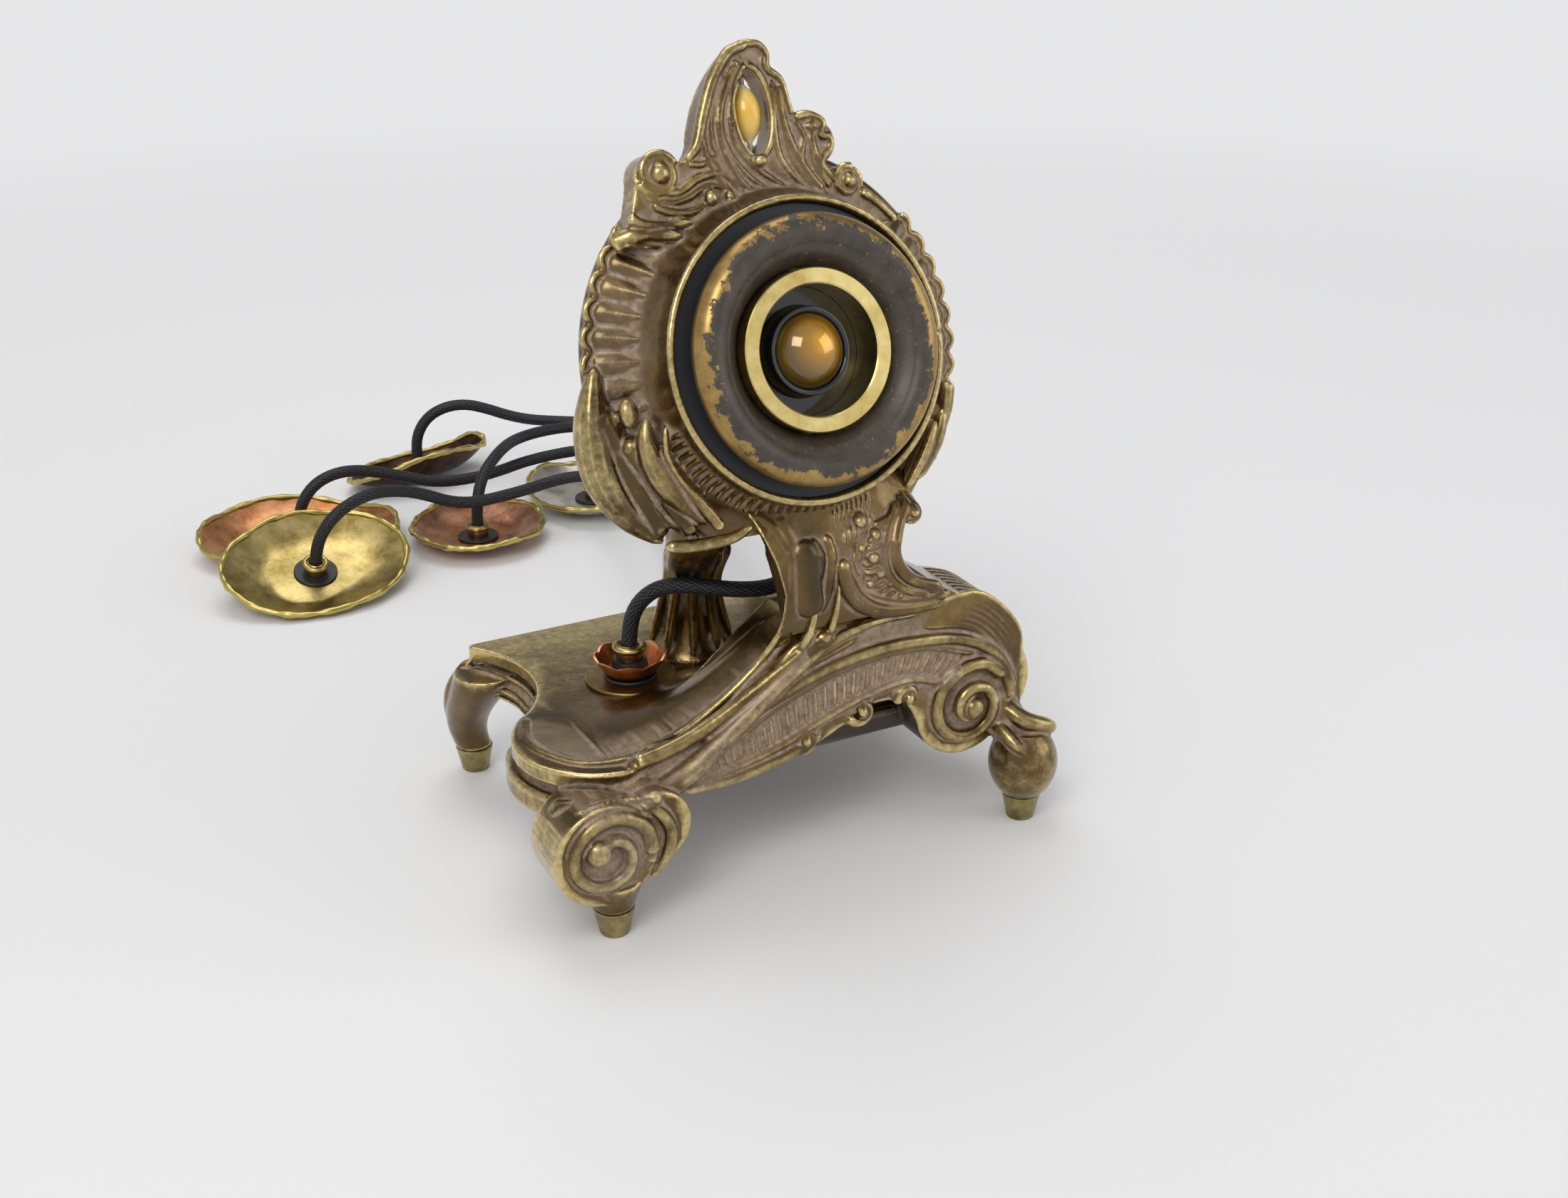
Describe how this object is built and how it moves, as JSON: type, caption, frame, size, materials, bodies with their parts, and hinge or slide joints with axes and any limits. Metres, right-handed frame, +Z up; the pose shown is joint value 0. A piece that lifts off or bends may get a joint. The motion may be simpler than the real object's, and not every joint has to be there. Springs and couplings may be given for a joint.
{
  "type": "eye sculpture in a rococo clock case",
  "caption": "Scrolled rococo clock case on ferruled feet with a glass eye in its dial, a spinning crest bead and braided cords to hammered dishes.",
  "frame": {"origin": "on the table under the middle of the case, cords and dishes left out", "axes": "+Z up, the dial faces -Y, +X to the right as seen from the front"},
  "size_m": [0.2272, 0.434, 0.2489],
  "materials": {
    "gilt": "worn antique gilt with chalky recesses",
    "brass": "aged satin",
    "bezel": "black enamel worn to brass",
    "backing": "satin",
    "black_gloss": "gloss",
    "amber": "clear",
    "pearl": "lustrous",
    "cover": "dark bronze",
    "rubber": "matt",
    "copper": "hammered, satin",
    "dish_brass": "hammered, satin",
    "silver": "hammered, satin",
    "dark_copper": "dark patina",
    "cord": "braided"
  },
  "bodies": {
    "case": {"backing_ring": "backing", "base_cord": "cord", "base_screws": "brass", "bead_pin": "brass", "bezel_ring": "bezel", "brass_cord": "cord", "brass_dish": "dish_brass", "brass_eyelet": "brass", "brass_washer": "rubber", "case_base": "gilt", "case_head": "gilt", "copper_cord": "cord", "copper_dish": "copper", "copper_eyelet": "brass", "copper_washer": "rubber", "cord_bushings": "rubber", "cover_screws": "brass", "dark_leaf_cord": "cord", "dark_leaf_dish": "dark_copper", "dark_leaf_eyelet": "brass", "dark_leaf_washer": "rubber", "eye_ball": "amber", "eye_retainer": "black_gloss", "eye_seat": "black_gloss", "eyepiece_tube": "brass", "ferrule_front_left": "brass", "ferrule_front_right": "brass", "ferrule_rear_left": "brass", "ferrule_rear_right": "brass", "front_bracket": "gilt", "large_copper_cord": "cord", "large_copper_dish": "copper", "large_copper_eyelet": "brass", "large_copper_washer": "rubber", "rear_cover": "cover", "rear_strut_left": "gilt", "rear_strut_right": "gilt", "silver_cord": "cord", "silver_dish": "silver", "silver_eyelet": "brass", "silver_washer": "rubber", "socket_bush": "rubber", "socket_cup": "copper", "socket_disc": "brass", "socket_eyelet": "brass", "socket_nut": "brass", "socket_ring": "rubber"},
    "bead": {"crest_bead": "pearl"}
  },
  "joints": [
    {"name": "bead_spin", "type": "hinge", "parent": "case", "child": "bead", "pos_m": [0.00234, -0.00419, 0.2278], "axis": [0, 0.2924, 0.9563], "continuous": true}
  ]
}
